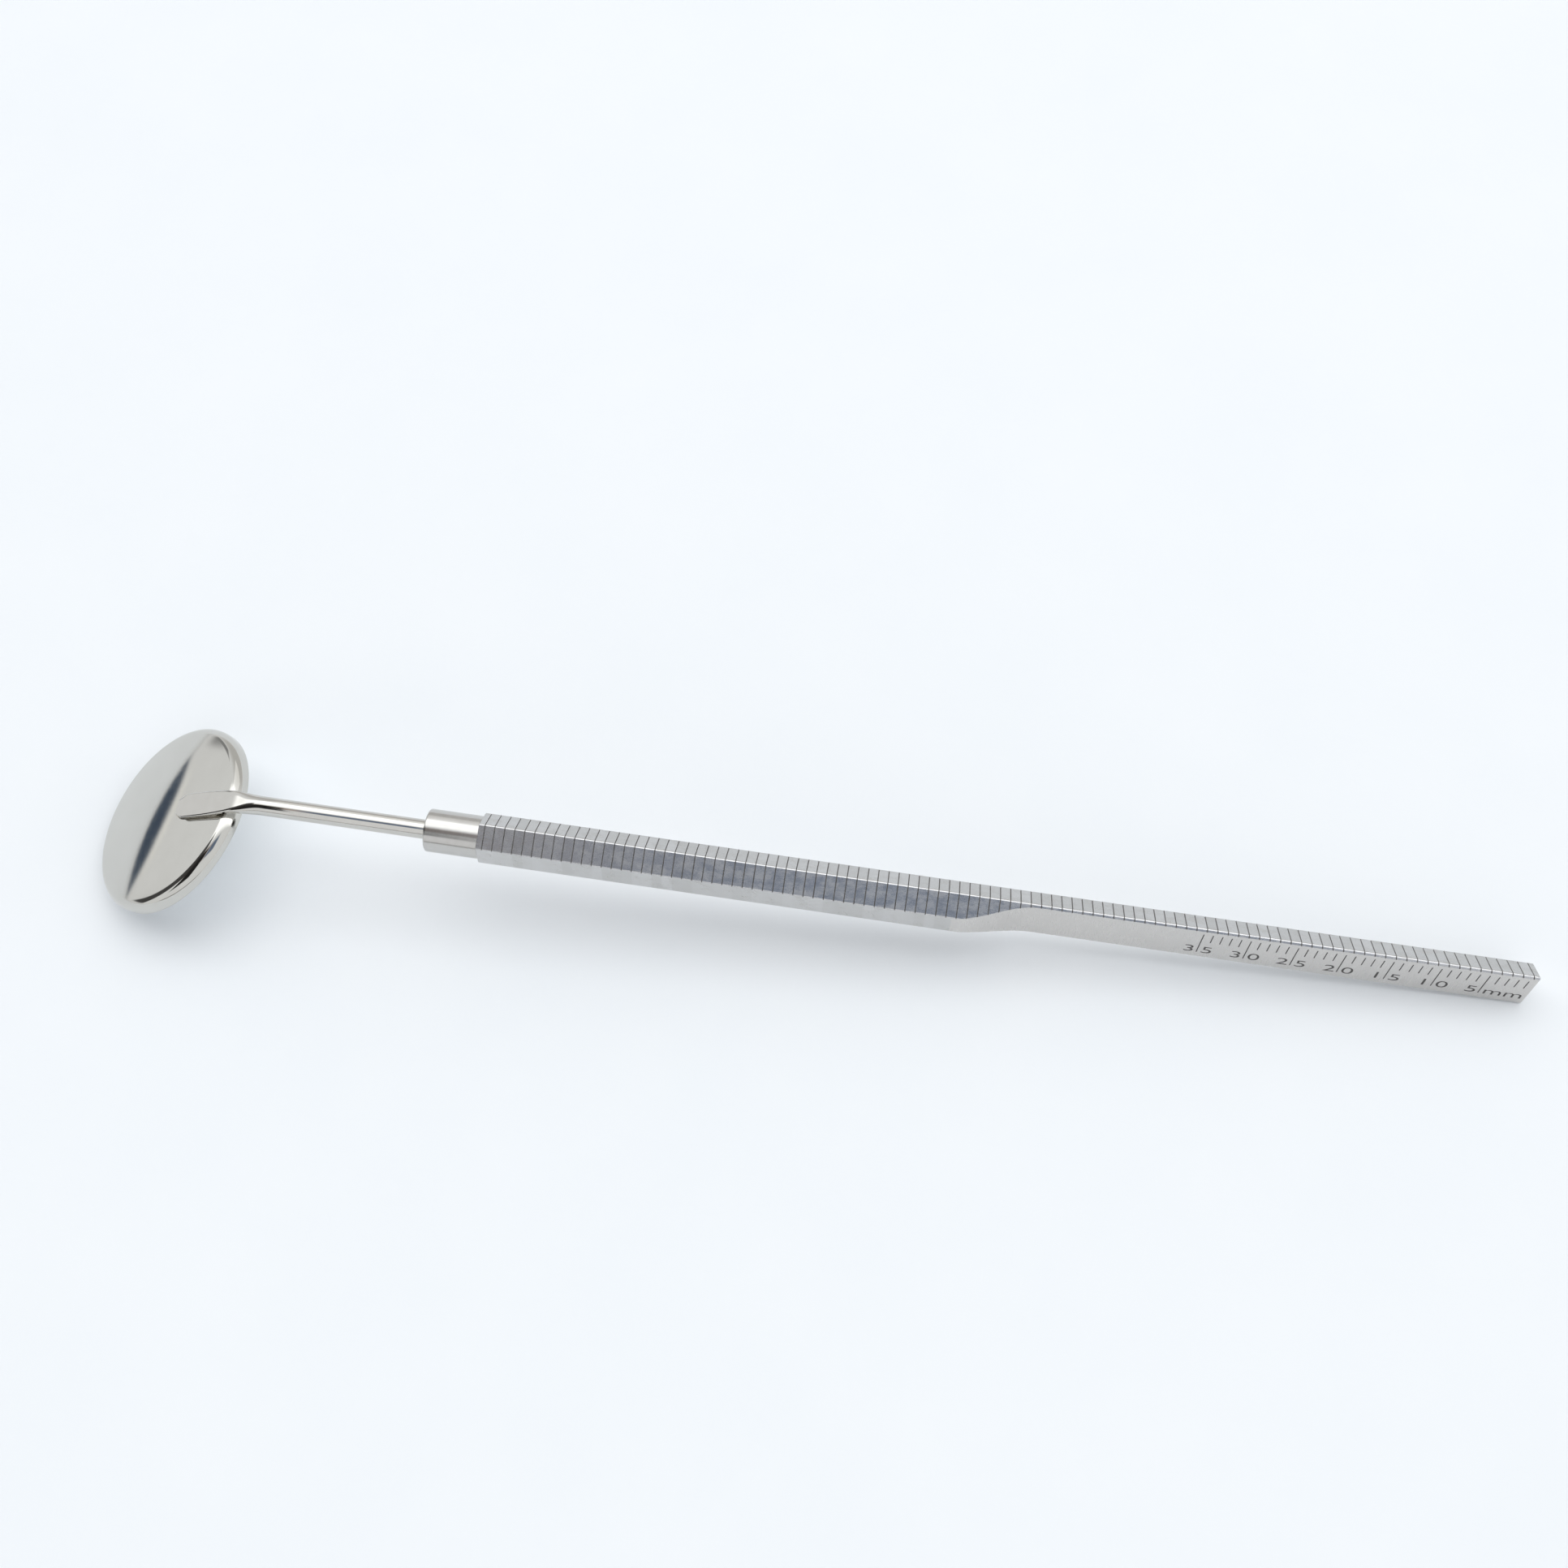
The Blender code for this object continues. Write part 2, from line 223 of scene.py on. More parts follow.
# ---- finishes ---------------------------------------------------------------------------------
class Finish(Graph):
    """A material whose patterns are measured in millimetres in the frame `place`."""

    def __init__(self, name, place=HANDLE, **constants):
        self.material = bpy.data.materials.new(name)
        self.material.use_nodes = True
        super().__init__(self.material.node_tree)
        self.shader = self.tree.nodes["Principled BSDF"]
        for key, value in constants.items():
            self.shader.inputs[key.replace("_", " ")].default_value = value
        here = self.add("ShaderNodeTexCoord", out="Object")
        self.at = self.add("ShaderNodeMapping", {"vector_type": "TEXTURE"},
                           {"Vector": here, "Location": place.translation,
                            "Rotation": place.to_euler(), "Scale": (MM, MM, MM)})

    def stretched(self, x, y, z):
        return self.add("ShaderNodeVectorMath", {"operation": "MULTIPLY"},
                        {0: self.at, 1: (x, y, z)})

    def noise(self, scale, stretch=None, detail=3.0, roughness=0.55):
        where = self.stretched(*stretch) if stretch else self.at
        return self.add("ShaderNodeTexNoise", None,
                        {"Vector": where, "Scale": scale, "Detail": detail,
                         "Roughness": roughness})

    def paint(self, **channels):
        for key, value in channels.items():
            socket = self.shader.inputs[key.replace("_", " ")]
            if isinstance(value, Wire):
                self.tree.links.new(value.socket, socket)
            else:
                socket.default_value = value
        return self.material

    def bump(self, height, microns, strength=1.0):
        return self.add("ShaderNodeBump", None,
                        {"Height": height, "Distance": microns * 1e-6, "Strength": strength})


def grey(r, g, b):
    return (r, g, b, 1.0)


def satin_steel():
    """Ground faces: each land between two grooves a little different, with fine long scratches.

    The face that lies uppermost is the worn one, mottled and crazed.
    """
    f = Finish("satin_steel", Metallic=1.0, Specular_IOR_Level=0.5)
    x, y, z = f.parts(f.at)
    land = ((x - FIRST_GROOVE / MM) / (PITCH / MM)).floor()
    tone = f.add("ShaderNodeTexWhiteNoise", {"noise_dimensions": "1D"}, {"W": land + 0.5})
    scratches = f.noise(1.0, (0.5, 22.0, 22.0), 4.0, 0.7)
    smears = f.noise(0.9, (0.6, 1.0, 1.0), 4.0, 0.65)
    cross = f.noise(1.0, (14.0, 0.8, 0.8), 2.0)
    steel = f.mix(tone, grey(0.53, 0.525, 0.515), grey(0.59, 0.585, 0.58))
    steel = f.mix(smears.rise(0.45, 0.75) * 0.5, steel, grey(0.48, 0.47, 0.45))
    upper = (z * math.cos(ROLL) - y * math.sin(ROLL)).rise(2.31, 2.38)
    crazing = f.add("ShaderNodeTexVoronoi", {"feature": "DISTANCE_TO_EDGE"},
                    {"Vector": f.stretched(1.6, 3.4, 3.4), "Randomness": 1.0})
    mottle = f.noise(2.6, (0.8, 1.6, 1.6), 5.0, 0.75)
    cracks = 1 - crazing.rise(0.0, 0.07)
    worn = upper * (0.55 * cracks + 0.75 * mottle.rise(0.42, 0.72)).least(1.0)
    steel = f.mix(upper * mottle.rise(0.3, 0.6) * 0.5, steel, grey(0.68, 0.69, 0.72))
    steel = f.mix(worn * 0.55, steel, grey(0.30, 0.30, 0.32))
    rough = 0.17 + 0.09 * smears.rise(0.35, 0.7) + 0.06 * scratches + 0.10 * worn
    return f.paint(Base_Color=steel, Roughness=rough,
                   Normal=f.bump(scratches * 0.6 + cross * 0.3 + smears * 0.4, 1.2))


def groove_steel():
    """Saw-cut groove walls, coloured dark grey, much darker than the lands, and mottled."""
    f = Finish("groove_steel", Metallic=0.8)
    # A mottle between two dark greys, for the walls' colour and roughness.
    groove_mottle = f.noise(2.2, detail=4.0)
    return f.paint(Base_Color=f.mix(groove_mottle, grey(0.19, 0.185, 0.18), grey(0.38, 0.37, 0.36)),
                   Roughness=0.4 + 0.2 * groove_mottle)


def milled_steel():
    """The ruler flat and its ramp, with the faint passes of the cutter across them."""
    f = Finish("milled_steel", Metallic=1.0)
    passes = f.noise(1.0, (16.0, 0.35, 0.35), 3.0)
    cloud = f.noise(0.5, detail=3.0)
    steel = f.mix(cloud, grey(0.595, 0.575, 0.555), grey(0.66, 0.64, 0.62))
    return f.paint(Base_Color=steel, Roughness=0.19 + 0.10 * passes + 0.05 * cloud,
                   Normal=f.bump(passes, 0.8))


def turned_steel():
    """The nose: polished on the lathe, with fine rings round it."""
    f = Finish("turned_steel", Metallic=1.0)
    rings = f.noise(1.0, (26.0, 0.3, 0.3), 4.0, 0.7)
    cloud = f.noise(1.2, detail=3.0)
    steel = f.mix(cloud, grey(0.52, 0.51, 0.49), grey(0.59, 0.58, 0.56))
    return f.paint(Base_Color=steel, Roughness=0.10 + 0.09 * rings + 0.04 * cloud,
                   Normal=f.bump(rings, 1.4))


def bore_steel():
    """The drilled socket inside the nose."""
    f = Finish("bore_steel", Metallic=1.0)
    rings = f.noise(1.0, (9.0, 1.0, 1.0), 2.0)
    return f.paint(Base_Color=f.mix(rings, grey(0.20, 0.19, 0.18), grey(0.34, 0.33, 0.31)),
                   Roughness=0.35 + 0.2 * rings)


def polished_steel(name="polished_steel"):
    """The drawn and polished rod, with a few long hairlines."""
    f = Finish(name, Metallic=1.0)
    hair = f.noise(1.0, (0.7, 14.0, 14.0), 4.0, 0.7)
    cloud = f.noise(0.8, detail=3.0)
    steel = f.mix(cloud, grey(0.57, 0.555, 0.52), grey(0.64, 0.625, 0.595))
    return f.paint(Base_Color=steel, Roughness=0.06 + 0.07 * hair.rise(0.4, 0.8) + 0.04 * cloud,
                   Normal=f.bump(hair, 0.5))


def cup_steel():
    """The pressed cup: a buffed sheet with faint swirls and hairlines in all directions."""
    f = Finish("cup_steel", RIM, Metallic=1.0)
    cloud = f.noise(0.35, detail=4.0)
    hair_a = f.noise(1.0, (0.6, 12.0, 4.0), 3.0, 0.7)
    hair_b = f.noise(1.0, (10.0, 0.7, 4.0), 3.0, 0.7)
    ripple = f.noise(0.22, detail=1.5)
    steel = f.mix(cloud, grey(0.57, 0.56, 0.525), grey(0.63, 0.62, 0.585))
    hairs = hair_a.rise(0.55, 0.85) + hair_b.rise(0.55, 0.85)
    return f.paint(Base_Color=steel, Roughness=0.055 + 0.05 * hairs + 0.04 * cloud,
                   Normal=f.bump(hairs * 0.3 + ripple * 3.0, 1.0))


def mirror_silver():
    """Silvered glass with a faint film of dust and wipe marks."""
    f = Finish("mirror_silver", RIM, Metallic=1.0, Coat_Weight=1.0, Coat_Roughness=0.01,
               Coat_IOR=1.5)
    film = f.noise(0.16, (1.0, 2.2, 1.0), 4.0, 0.6)
    silver = f.mix(film.rise(0.4, 0.75), grey(0.86, 0.895, 0.905), grey(0.80, 0.84, 0.855))
    return f.paint(Base_Color=silver, Roughness=0.012 + 0.05 * film.rise(0.5, 0.85))


def edge_sealant():
    """Grey sealant, smoothed by hand and so a little lumpy."""
    f = Finish("edge_sealant", RIM)
    lumps = f.noise(0.9, detail=3.0)
    return f.paint(Base_Color=f.mix(lumps, grey(0.42, 0.43, 0.43), grey(0.58, 0.59, 0.59)),
                   Roughness=0.32 + 0.2 * lumps, Normal=f.bump(lumps, 25.0))


def braze_filler():
    """Silver braze, warmer than the steel, with the marks of its flow."""
    f = Finish("braze_filler", RIM, Metallic=1.0)
    flow = f.noise(1.4, detail=3.0)
    return f.paint(Base_Color=f.mix(flow, grey(0.50, 0.46, 0.38), grey(0.66, 0.63, 0.56)),
                   Roughness=0.14 + 0.2 * flow, Normal=f.bump(flow, 12.0))


def pad_fibre():
    """The black fibre pad behind the glass."""
    f = Finish("pad_fibre", RIM)
    fibre = f.noise(3.0, (1.0, 4.0, 1.0), 5.0, 0.7)
    return f.paint(Base_Color=f.mix(fibre, grey(0.05, 0.05, 0.055), grey(0.14, 0.14, 0.15)),
                   Roughness=0.75 + 0.2 * fibre, Normal=f.bump(fibre, 40.0))


def laser_mark():
    """Annealed marks: a dark skin on the steel, mottled where the beam overlapped."""
    f = Finish("laser_mark", Metallic=0.6)
    burn = f.noise(5.0, detail=3.0)
    return f.paint(Base_Color=f.mix(burn, grey(0.050, 0.047, 0.045), grey(0.12, 0.115, 0.11)),
                   Roughness=0.42 + 0.15 * burn)


STEEL = satin_steel()
GROOVE = groove_steel()
MILLED = milled_steel()
TURNED_STEEL = turned_steel()
BORE = bore_steel()
POLISHED = polished_steel()
THREAD = polished_steel("thread_steel")
CUP_STEEL = cup_steel()
SILVER = mirror_silver()
SEALANT = edge_sealant()
FILLER = braze_filler()
MARK = laser_mark()


# ---- making pieces ----------------------------------------------------------------------------
def new_object(name, mesh):
    obj = bpy.data.objects.new(name, mesh)
    scene.collection.objects.link(obj)
    return obj


def shape(name, bm, finish, place=None, sharp_angle=30.0):
    """An object from a bmesh, its place in its mesh and its faces outwards."""
    bmesh.ops.recalc_face_normals(bm, faces=bm.faces)
    mesh = bpy.data.meshes.new(name)
    bm.to_mesh(mesh)
    bm.free()
    if place:
        mesh.transform(place)
    mesh.shade_smooth()
    mesh.set_sharp_from_angle(angle=math.radians(sharp_angle))
    mesh.materials.append(finish)
    return new_object(name, mesh)


def plain(obj, place=None):
    """The object with its modifiers made into mesh, put in its place."""
    depsgraph = bpy.context.evaluated_depsgraph_get()
    mesh = bpy.data.meshes.new_from_object(obj.evaluated_get(depsgraph), depsgraph=depsgraph,
                                           preserve_all_data_layers=True)
    name = obj.name
    bpy.data.objects.remove(obj)
    if place:
        mesh.transform(place)
    mesh.name = name
    return new_object(name, mesh)


def bridge(bm, ring_a, ring_b):
    """Faces between two closed rings of the same number of points."""
    n = len(ring_a)
    for i in range(n):
        bm.faces.new((ring_a[i], ring_a[(i + 1) % n], ring_b[(i + 1) % n], ring_b[i]))


def loft(rings):
    """A closed solid through a list of rings of points, with flat ends."""
    bm = bmesh.new()
    rows = [[bm.verts.new(p) for p in ring] for ring in rings]
    for row_a, row_b in zip(rows, rows[1:]):
        bridge(bm, row_a, row_b)
    bm.faces.new(rows[0])
    bm.faces.new(list(reversed(rows[-1])))
    return bm


def lathe(profile, sides=ROUND_SIDES):
    """A solid of revolution about Z.  The (radius, z) profile is closed by its first point."""
    bm = bmesh.new()
    columns = []
    for k in range(sides):
        a = 2 * math.pi * k / sides
        columns.append([bm.verts.new((r * math.cos(a), r * math.sin(a), z)) if r > 0 else None
                        for r, z in profile])
    centres = {i: bm.verts.new((0, 0, z)) for i, (r, z) in enumerate(profile) if r == 0}
    for k in range(sides):
        here, there = columns[k], columns[(k + 1) % sides]
        for i in range(len(profile)):
            j = (i + 1) % len(profile)
            if i in centres and j in centres:
                continue
            corners = [here[i] or centres[i], there[i], there[j] or centres.get(j), here[j]]
            bm.faces.new(list(dict.fromkeys(c for c in corners if c)))
    return bm


def arc(centre, radius, start, end, steps):
    """Points of a profile's arc, angles in degrees."""
    out = []
    for i in range(steps + 1):
        a = math.radians(start + (end - start) * i / steps)
        out.append((centre[0] + radius * math.cos(a), centre[1] + radius * math.sin(a)))
    return out


def smooth_step(t):
    t = min(max(t, 0.0), 1.0)
    return t * t * (3 - 2 * t)


# ---- grown shapes -----------------------------------------------------------------------------
class Growth(Graph):
    """A Geometry Nodes tree with named sizes."""

    def __init__(self, name, sizes):
        tree = bpy.data.node_groups.new(name, "GeometryNodeTree")
        super().__init__(tree)
        self.sizes = sizes
        tree.interface.new_socket("Geometry", in_out="INPUT", socket_type="NodeSocketGeometry")
        for label, value in sizes.items():
            kind = "NodeSocketInt" if isinstance(value, int) else "NodeSocketFloat"
            tree.interface.new_socket(label, in_out="INPUT", socket_type=kind)
        tree.interface.new_socket("Geometry", in_out="OUTPUT", socket_type="NodeSocketGeometry")
        self.inlet = tree.nodes.new("NodeGroupInput")

    def size(self, label):
        return Wire(self, self.pick(self.inlet.outputs, label))

    def place(self, geometry, translation=(0, 0, 0), rotation=(0, 0, 0), scale=(1, 1, 1)):
        return self.add("GeometryNodeTransform", None,
                        {"Geometry": geometry, "Translation": translation, "Rotation": rotation,
                         "Scale": scale})

    def finish(self, geometry, *finishes):
        """Realize the instances, then give each (material, value) its faces of the finish mark."""
        shown = self.add("GeometryNodeRealizeInstances", None, {"Geometry": geometry})
        mark = self.add("GeometryNodeInputNamedAttribute", {"data_type": "FLOAT"},
                        {"Name": "finish"})
        for material, value in finishes:
            sockets = {"Geometry": shown, "Material": material}
            if value:
                sockets["Selection"] = mark.equals(float(value))
            shown = self.add("GeometryNodeSetMaterial", None, sockets)
        outlet = self.tree.nodes.new("NodeGroupOutput")
        self.tree.links.new(shown.socket, outlet.inputs["Geometry"])

    def marked(self, geometry, value):
        return self.add("GeometryNodeStoreNamedAttribute",
                        {"data_type": "FLOAT", "domain": "FACE"},
                        {"Geometry": geometry, "Name": "finish", "Value": float(value)})

    def grow(self, name):
        """An object that the tree shapes, its sizes set before it is first evaluated."""
        host = bpy.data.objects.new(name, bpy.data.meshes.new(name))
        modifier = host.modifiers.new("growth", "NODES")
        modifier.node_group = self.tree
        for item in self.tree.interface.items_tree:
            if item.in_out == "INPUT" and item.name in self.sizes:
                modifier[item.identifier] = self.sizes[item.name]
        scene.collection.objects.link(host)
        return host


def hexagon_bar():
    """The bar: a rounded hexagon swept along x, less the grooves and the milled half."""
    g = Growth("hexagon_bar", {
        "Length": LENGTH, "Side": SIDE, "Corner": CORNER_R, "Roll": ROLL,
        "Front Chamfer": 0.06 * MM, "Tail Chamfer": 0.14 * MM,
        "Grooves": GROOVES, "Pitch": PITCH, "First": FIRST_GROOVE,
        "Groove Width": GROOVE_W, "Groove Depth": GROOVE_DEPTH,
        "Flat": FLAT_OFFSET, "Ramp Start": RAMP_START, "Ramp End": RAMP_END,
    })
    length, side_length, roll = g.size("Length"), g.size("Side"), g.size("Roll")
    apothem = side_length * math.cos(math.radians(30))
    front, tail = g.size("Front Chamfer"), g.size("Tail Chamfer")

    # The sweep has four stations: the front face, its chamfer, the tail's chamfer and the tail.
    line = g.add("GeometryNodeCurvePrimitiveLine", None,
                 {"Start": (0.0, 0.0, 0.0), "End": g.vector(length)})
    line = g.add("GeometryNodeResampleCurve", None, {"Curve": line, "Count": 4})
    station = g.add("GeometryNodeInputIndex")
    x = (station.equals(1) * front + station.equals(2) * (length - tail)
         + station.equals(3) * length)
    line = g.add("GeometryNodeSetPosition", None, {"Geometry": line, "Position": g.vector(x)})
    narrow = 1 - station.equals(0) * front / apothem - station.equals(3) * tail / apothem
    hexagon = g.add("GeometryNodeCurvePrimitiveCircle", None,
                    {"Resolution": 6, "Radius": side_length})
    hexagon = g.add("GeometryNodeFilletCurve", {"mode": "POLY"},
                    {"Curve": hexagon, "Count": 6, "Radius": g.size("Corner")})
    hexagon = g.place(hexagon, rotation=g.vector(0, 0, roll))
    bar = g.add("GeometryNodeCurveToMesh", None,
                {"Curve": line, "Profile Curve": hexagon, "Scale": narrow, "Fill Caps": True})

    # A groove cutter is a V bent round the five grooved faces, run out past the last corners.
    bent = g.add("GeometryNodeCurveArc", None,
                 {"Resolution": 6, "Radius": side_length, "Start Angle": math.pi + roll,
                  "Sweep Angle": math.radians(300)})
    ends = g.add("GeometryNodeCurveEndpointSelection")
    progress = g.add("GeometryNodeSplineParameter", out="Factor")
    heading = g.add("GeometryNodeInputTangent")
    run_out = g.add("ShaderNodeVectorMath", {"operation": "SCALE"},
                    {"Vector": heading, "Scale": (progress * 2 - 1) * (0.3 * MM)})
    bent = g.add("GeometryNodeSetPosition", None,
                 {"Geometry": bent, "Selection": ends, "Offset": run_out})
    depth = g.size("Groove Depth") / math.cos(math.radians(30))
    vee = g.add("GeometryNodeCurvePrimitiveCircle", None, {"Resolution": 3, "Radius": 1.0})
    half_height = 0.866                 # of a triangle on a circle of radius 1
    vee = g.place(vee, rotation=(0, 0, math.pi),
                  scale=g.vector(depth, g.size("Groove Width") * half_height, 1.0))
    cutter = g.add("GeometryNodeCurveToMesh", None,
                   {"Curve": bent, "Profile Curve": vee, "Fill Caps": True})
    cutter = g.place(g.marked(cutter, 1), rotation=(math.pi / 2, 0, math.pi / 2))
    rows = g.add("GeometryNodeMeshLine", None,
                 {"Count": g.size("Grooves"), "Start Location": g.vector(g.size("First")),
                  "Offset": g.vector(g.size("Pitch"))})
    rows = g.add("GeometryNodeInstanceOnPoints", None, {"Points": rows, "Instance": cutter})
    rows = g.add("GeometryNodeRealizeInstances", None, {"Geometry": rows})

    # The milling cutter's underside follows the ramp, the flat and the tail's chamfer.
    last = 33                           # the number of the column of points behind the tail
    block = g.add("GeometryNodeMeshCube", None,
                  {"Size": (1.0, 8 * MM, 8 * MM), "Vertices X": last + 1, "Vertices Y": 2,
                   "Vertices Z": 2})
    u, v, w = g.parts(g.add("GeometryNodeInputPosition"))
    step = (u + 0.5) * last
    start, end = g.size("Ramp Start"), g.size("Ramp End")
    ramp = (step / (last - 2)).least(1.0)
    past_end = step.above(last - 0.5)
    over = 0.5 * MM                     # how far the cutter runs out behind the tail
    x = (start + ramp * (end - start) + step.above(last - 1.5) * (length - tail - end)
         + past_end * (tail + over))
    lift = 3e-6                         # clear of the plain face where the ramp begins
    surface = apothem + lift + (g.size("Flat") - apothem - lift) * ramp.rise(0.0, 1.0)
    under = surface - past_end * (tail + over)
    height = under + w.above(0.0) * (6 * MM - under)
    block = g.add("GeometryNodeSetPosition", None,
                  {"Geometry": block, "Position": g.vector(x, v, height)})
    block = g.place(g.marked(block, 2), rotation=g.vector(math.radians(60) + roll))

    bar = g.marked(bar, 0)
    for cutters in (rows, block):
        bar = g.add("GeometryNodeMeshBoolean", {"operation": "DIFFERENCE", "solver": "EXACT"},
                    {"Mesh 1": bar, "Mesh 2": cutters})
    g.finish(bar, (STEEL, 0), (GROOVE, 1), (MILLED, 2))
    return g.grow("handle_bar")


def ruler_ticks():
    """Millimetre ticks up to 35 from the tail, each fifth one long."""
    top, short, tall, thick = 2.02 * MM, 1.55 * MM, 3.75 * MM, 0.014 * MM
    g = Growth("ruler_ticks", {
        "Count": 35, "Spacing": 1.0 * MM, "Tail": LENGTH, "Flat": FLAT_OFFSET,
        "Top": top, "Short": short, "Tall": tall, "Line Width": 0.115 * MM,
        "Thickness": thick,
    })
    row = g.add("GeometryNodeMeshLine", None,
                {"Count": g.size("Count"), "Offset": g.vector(-g.size("Spacing")),
                 "Start Location": g.vector(g.size("Tail") - g.size("Spacing"))})
    number = g.add("GeometryNodeInputIndex") + 1
    fifth = 1 - (number % 5).above(0.5)
    reach = g.size("Short") + fifth * (g.size("Tall") - g.size("Short"))
    row = g.add("GeometryNodeSetPosition", None,
                {"Geometry": row, "Offset": g.vector(0, g.size("Top") - reach / 2)})
    mark = g.add("GeometryNodeMeshCube", None, {"Size": (1.0, 1.0, 1.0)})
    row = g.add("GeometryNodeInstanceOnPoints", None,
                {"Points": row, "Instance": mark,
                 "Scale": g.vector(g.size("Line Width"), reach, g.size("Thickness"))})
    row = g.place(row, translation=g.vector(0, 0, g.size("Flat")))
    g.finish(g.place(row, rotation=(FLAT_TURN, 0, 0)), (MARK, 0))
    return plain(g.grow("ruler_ticks"), HANDLE)


def stem_thread():
    """The rolled thread: a V that climbs round the stem's tail."""
    g = Growth("stem_thread", {
        "Turns": float(THREAD_TURNS - 1), "Pitch": THREAD_PITCH, "Root": THREAD_ROOT_R,
        "Crest": THREAD_R - 0.01 * MM, "Start": THREAD_START + 0.6 * THREAD_PITCH,
    })
    turns, root = g.size("Turns"), g.size("Root")
    spiral = g.add("GeometryNodeCurveSpiral", None,
                   {"Resolution": 32, "Rotations": turns, "Start Radius": root,
                    "End Radius": root, "Height": turns * g.size("Pitch")})
    progress = g.add("GeometryNodeSplineParameter", out="Factor")
    fade = progress.band(0.03, 0.97, 0.03)
    vee = g.add("GeometryNodeCurvePrimitiveCircle", None, {"Resolution": 3, "Radius": 1.0})
    height = g.size("Crest") - root
    vee = g.place(vee, scale=g.vector(height, g.size("Pitch") * 0.5, 1.0))
    ridge = g.add("GeometryNodeCurveToMesh", None,
                  {"Curve": spiral, "Profile Curve": vee, "Scale": 0.05 + 0.95 * fade,
                   "Fill Caps": True})
    ridge = g.place(ridge, translation=g.vector(g.size("Start")), rotation=(0, math.pi / 2, 0))
    g.finish(ridge, (THREAD, 0))
    return g.grow("stem_thread")


# ---- handle -----------------------------------------------------------------------------------
def handle():
    """The bar with its nose, less the socket."""
    bar = hexagon_bar()
    c = 0.22 * MM                       # the nose's rounded front edge
    nose_profile = [(0, -0.4 * MM), (NOSE_R, -0.4 * MM), (NOSE_R, NOSE_LEN - c)]
    nose_profile += arc((NOSE_R - c, NOSE_LEN - c), c, 12, 78, 5) + [(0, NOSE_LEN)]
    nose = shape("nose_blank", lathe(nose_profile), TURNED_STEEL, TURNED)
    mouth = SOCKET_MOUTH_R - SOCKET_R
    bottom = NOSE_LEN - SOCKET_DEPTH
    hole = [(0, bottom - 0.6 * SOCKET_R), (SOCKET_R, bottom), (SOCKET_R, NOSE_LEN - mouth),
            (SOCKET_MOUTH_R, NOSE_LEN), (SOCKET_MOUTH_R, NOSE_LEN + MM), (0, NOSE_LEN + MM)]
    drill = shape("socket_drill", lathe(hole), BORE, TURNED)
    for other, operation in ((nose, "UNION"), (drill, "DIFFERENCE")):
        join = bar.modifiers.new(other.name, "BOOLEAN")
        join.operation = operation
        join.solver = "EXACT"
        join.material_mode = "TRANSFER"
        join.object = other
    piece = plain(bar, HANDLE)
    bpy.data.objects.remove(nose)
    bpy.data.objects.remove(drill)
    piece.data.shade_smooth()
    piece.data.set_sharp_from_angle(angle=math.radians(22))
    weigh = piece.modifiers.new("weigh", "WEIGHTED_NORMAL")
    weigh.mode = "FACE_AREA"
    weigh.keep_sharp = True
    piece = plain(piece)
    piece.name = "hexagon_handle"
    return piece


def ruler_numbers():
    """The ruler's numbers, each digit on its own side of the long tick."""
    height, base, wide, thick = 1.36 * MM, -1.76 * MM, 1.48, 0.014 * MM
    pairs = [("3", "5", 35), ("3", "0", 30), ("2", "5", 25), ("2", "0", 20), ("1", "5", 15),
             ("1", "0", 10), ("5", "mm", 5)]
    merged = bmesh.new()
    for left, right, mark in pairs:
        for text, way in ((left, -1), (right, 1)):
            curve = bpy.data.curves.new("digit", "FONT")
            curve.body = text
            curve.align_x = "RIGHT" if way < 0 else "LEFT"
            curve.size = height / 0.72
            curve.offset = -0.012 * MM
            curve.extrude = thick / 2
            digit = plain(new_object("digit", curve))
            gap = 0.22 * MM if way < 0 else 0.30 * MM
            place = (Matrix.Rotation(FLAT_TURN, 4, "X")
                     @ Matrix.Translation((LENGTH - mark * MM + way * gap, base, FLAT_OFFSET))
                     @ Matrix.Diagonal((wide, 1, 1, 1)))
            digit.data.transform(HANDLE @ place)
            merged.from_mesh(digit.data)
            bpy.data.objects.remove(digit)
    bmesh.ops.remove_doubles(merged, verts=merged.verts, dist=1e-7)
    return shape("ruler_numbers", merged, MARK)


# ---- stem -------------------------------------------------------------------------------------
def rounded(value, squareness):
    """A sine or cosine, bent towards a square."""
    return math.copysign(abs(value) ** (2 / squareness), value)


def circle(x, r):
    """A ring round the handle's axis."""
    return [(x, r * math.cos(2 * math.pi * i / ROD_SIDES), r * math.sin(2 * math.pi * i / ROD_SIDES))
            for i in range(ROD_SIDES)]


def stem_section(distance, width, height, up=0.0, squareness=2.0):
    """A ring round the bent axis, distance along it from the bend's start, raised by up.

    A squareness of 2 gives an ellipse, and a larger one a flat bar with rounded edges.
    """
    arc_len = BEND_R * FOOT_ANGLE
    bend = min(max(distance, 0.0), arc_len) / BEND_R
    start = BEND_AT - BEND_R * math.tan(FOOT_ANGLE / 2)
    forward = start + BEND_R * math.sin(bend)
    down = BEND_R * (1 - math.cos(bend))
    straight = distance if distance < 0 else max(0.0, distance - arc_len)
    forward += straight * math.cos(bend)
    down += straight * math.sin(bend)
    ring = []
    for i in range(ROD_SIDES):
        a = 2 * math.pi * i / ROD_SIDES
        y = width / 2 * rounded(math.cos(a), squareness)
        w = height / 2 * rounded(math.sin(a), squareness) + up
        ring.append((-forward - w * math.sin(bend), y, -down + w * math.cos(bend)))
    return ring


